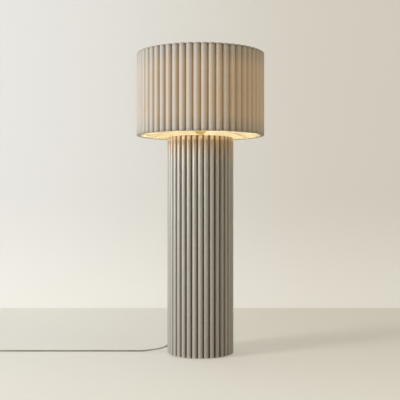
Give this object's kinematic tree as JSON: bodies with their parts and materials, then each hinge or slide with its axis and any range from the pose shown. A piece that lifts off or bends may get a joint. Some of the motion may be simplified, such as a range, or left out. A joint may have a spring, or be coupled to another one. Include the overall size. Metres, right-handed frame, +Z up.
{
  "type": "floor lamp",
  "caption": "Floor lamp with a reeded round column, a wide fluted drum shade on a clamp-ring fitter, and a cord with a foot switch and a flat two-pin plug.",
  "frame": {"origin": "on the floor, under the middle of the column", "axes": "+Z up along the column; the side that faces the viewer is -Y; the cord leaves towards -X"},
  "size_m": [1.2936, 0.5072, 1.1903],
  "materials": {
    "column_finish": "matte",
    "cast_weight": "matte",
    "felt": "matte",
    "zinc_steel": "satin",
    "brass": "satin",
    "white_plastic": "satin",
    "porcelain": "gloss",
    "nickel": "polished",
    "opal": "satin",
    "shade_cloth": "matte",
    "shade_liner": "matte",
    "shade_hem": "matte",
    "white_wire": "satin",
    "cord": "satin",
    "strap": "matte",
    "switch_shell": "satin",
    "switch_button": "satin"
  },
  "bodies": {
    "stand": {"column_shell": "column_finish", "top_plate": "column_finish", "base_weight": "cast_weight", "felt_pad": "felt", "stem": "zinc_steel", "stem_nuts": "brass", "stem_washers": "zinc_steel", "neck_collar": "brass", "holder_cup": "brass", "holder_sleeve": "white_plastic", "holder_insert": "porcelain", "holder_screw_shell": "brass", "holder_contact": "brass", "clamp_ring": "white_plastic", "bulb_tip": "nickel", "bulb_cap": "nickel", "bulb_housing": "white_plastic", "bulb_globe": "opal", "inner_lead": "cord", "stem_wires": "cord", "cord_boot": "cord", "cord_run": "cord", "cord_link": "cord", "cord_coil": "cord", "cord_tail": "cord", "coil_tie": "strap", "switch_base": "switch_shell", "switch_cover": "switch_shell", "switch_spring": "zinc_steel", "switch_block": "white_plastic", "switch_screws": "zinc_steel", "switch_boots": "cord", "plug_body": "switch_shell", "plug_boot": "cord", "plug_pins": "nickel"},
    "shade": {"shade_skin": "shade_cloth", "shade_liner": "shade_liner", "shade_hem_bottom": "shade_hem", "shade_hem_top": "shade_hem", "shade_fitter": "white_wire", "shade_top_ring": "white_wire"},
    "foot_button": {"switch_button": "switch_button"}
  },
  "joints": [
    {"name": "shade_turn", "type": "hinge", "parent": "stand", "child": "shade", "pos_m": [0, 0, 0.9123], "axis": [0, 0, 1], "continuous": true},
    {"name": "foot_press", "type": "slide", "parent": "stand", "child": "foot_button", "axis": [0, 0, -1], "range_m": [0, 0.003], "stiffness_N_per_m": 400, "springref_m": -0.002, "deforming": ["switch_spring"]}
  ]
}
